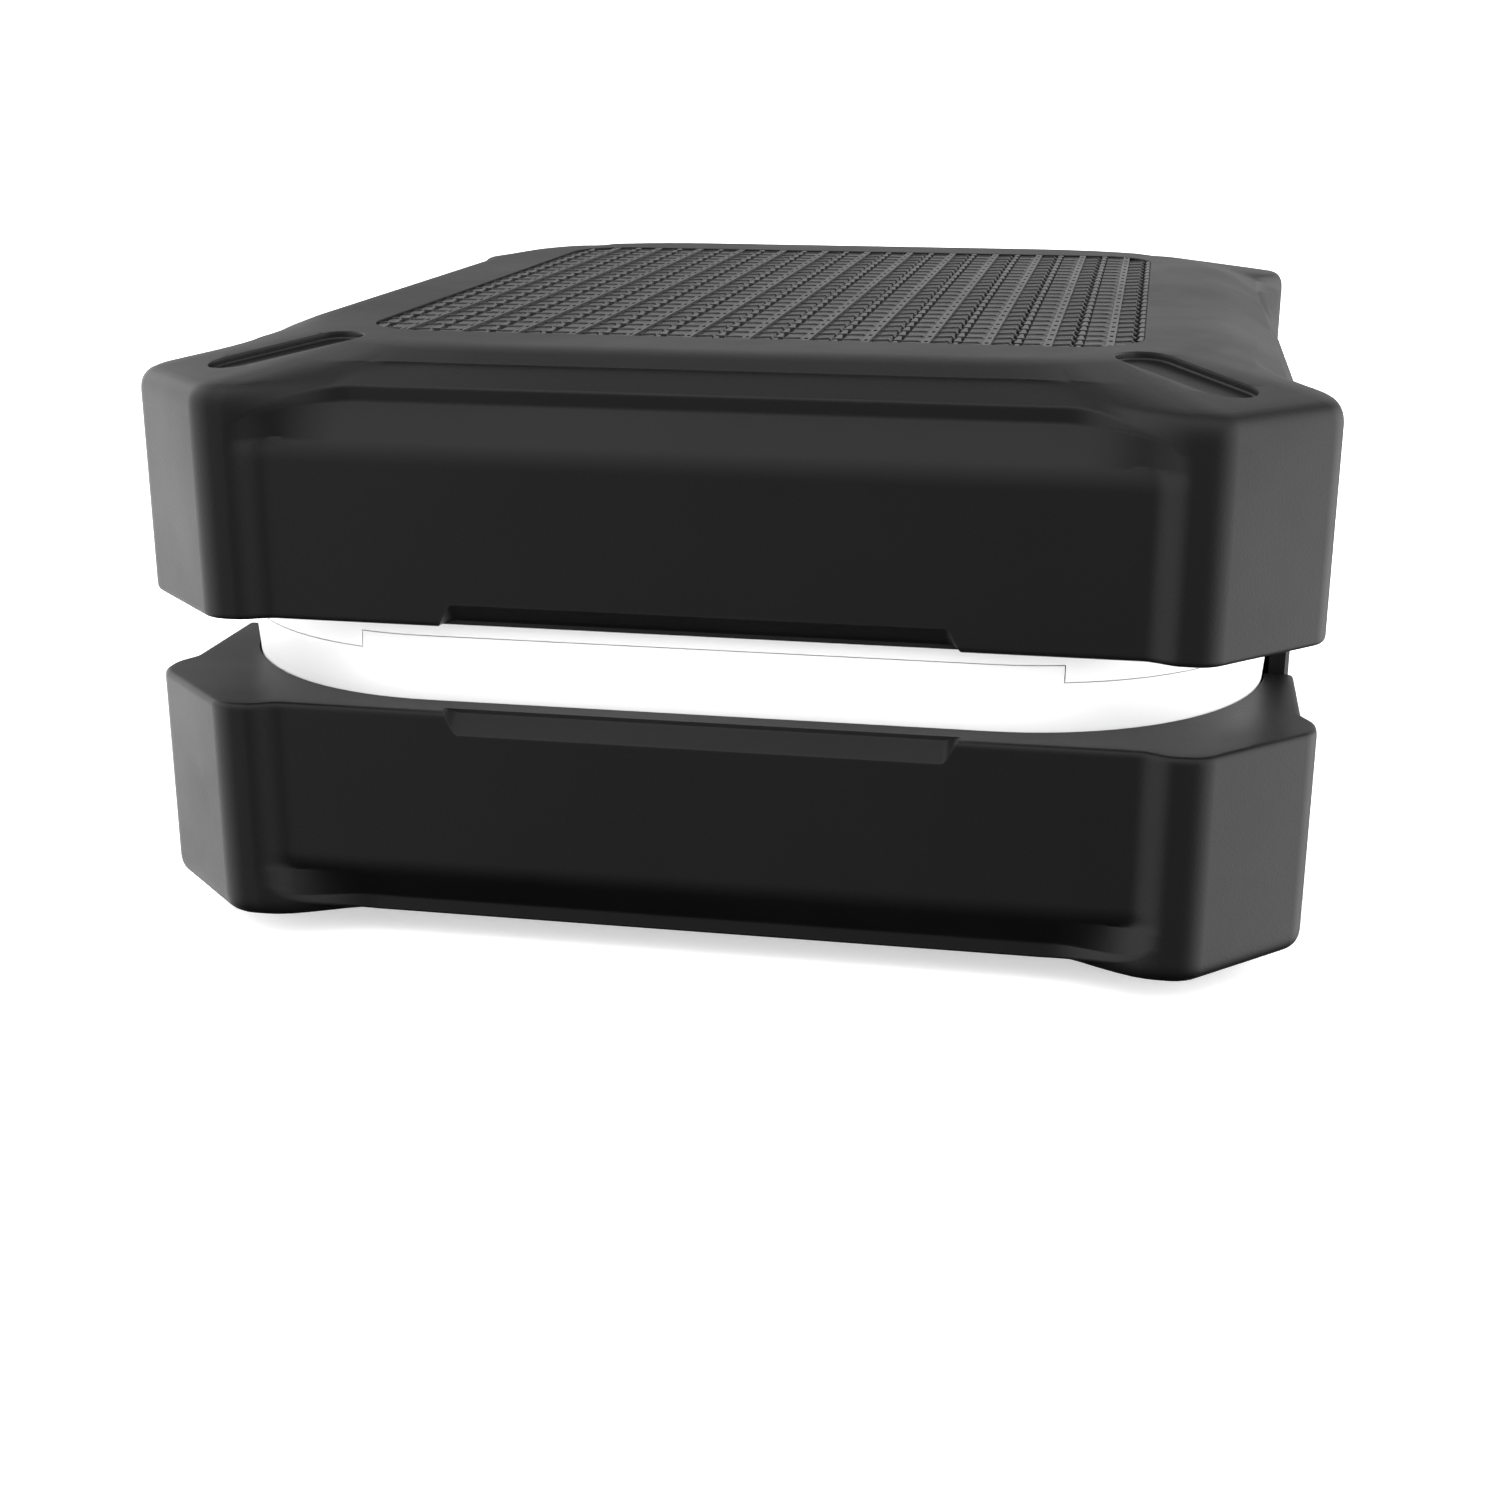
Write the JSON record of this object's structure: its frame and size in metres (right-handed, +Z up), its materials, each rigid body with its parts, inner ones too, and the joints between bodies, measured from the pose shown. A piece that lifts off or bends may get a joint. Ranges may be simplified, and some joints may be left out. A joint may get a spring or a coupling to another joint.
{
  "type": "mesh wifi node",
  "caption": "White rounded mesh wifi node held between two mirrored black protective shells, with corner posts, a woven top panel, a window for plugs and a bare band.",
  "frame": {"origin": "on the surface that the object stands on, under the middle of its plan", "axes": "+Z up, -Y towards the front that the picture shows, -X towards the side with the sockets"},
  "size_m": [0.198, 0.239, 0.101],
  "materials": {
    "case": "fine-grained matt black moulding",
    "woven_panel": "black sheet with a woven relief",
    "rubber": "matt black rubber",
    "node_white": "smooth satin white moulding",
    "board": "green solder resist",
    "chip": "matt moulding compound",
    "thermal_pad": "soft grey pad",
    "aluminium": "extruded, plain",
    "steel": "tinned or plated steel",
    "dark_plastic": "matt dark plastic",
    "antenna": "stamped copper alloy",
    "lens": "clear plastic",
    "led": "moulded LED"
  },
  "bodies": {
    "case_bottom": {"lower_shell": "case", "base_pad": "rubber", "side_bridge": "case"},
    "node": {"node_lower_housing": "node_white", "node_upper_housing": "node_white", "socket_panel": "node_white", "node_foot_front": "rubber", "node_foot_back": "rubber", "housing_screw_1": "steel", "housing_screw_2": "steel", "housing_screw_3": "steel", "housing_screw_4": "steel", "main_board": "board", "board_screw_1": "steel", "board_screw_2": "steel", "board_screw_3": "steel", "board_screw_4": "steel", "processor": "chip", "thermal_pad": "thermal_pad", "heat_sink": "aluminium", "shield_can_front": "steel", "shield_can_back": "steel", "antenna_right_front": "antenna", "antenna_right_back": "antenna", "antenna_front": "antenna", "antenna_back": "antenna", "ethernet_jack_1": "steel", "ethernet_jack_2": "steel", "power_inlet": "steel", "reset_switch": "dark_plastic", "status_lens": "lens", "status_led": "led"},
    "case_top": {"upper_shell": "case", "top_panel": "woven_panel"},
    "reset": {"reset_button": "dark_plastic"}
  },
  "joints": [
    {"name": "node_lift", "type": "slide", "parent": "case_bottom", "child": "node", "axis": [0, 0, 1], "range_m": [0, 0.045]},
    {"name": "upper_lift", "type": "slide", "parent": "node", "child": "case_top", "axis": [0, 0, 1], "range_m": [0, 0.045]},
    {"name": "reset_press", "type": "slide", "parent": "node", "child": "reset", "axis": [1, 0, 0], "range_m": [0, 0.001], "stiffness_N_per_m": 600}
  ]
}
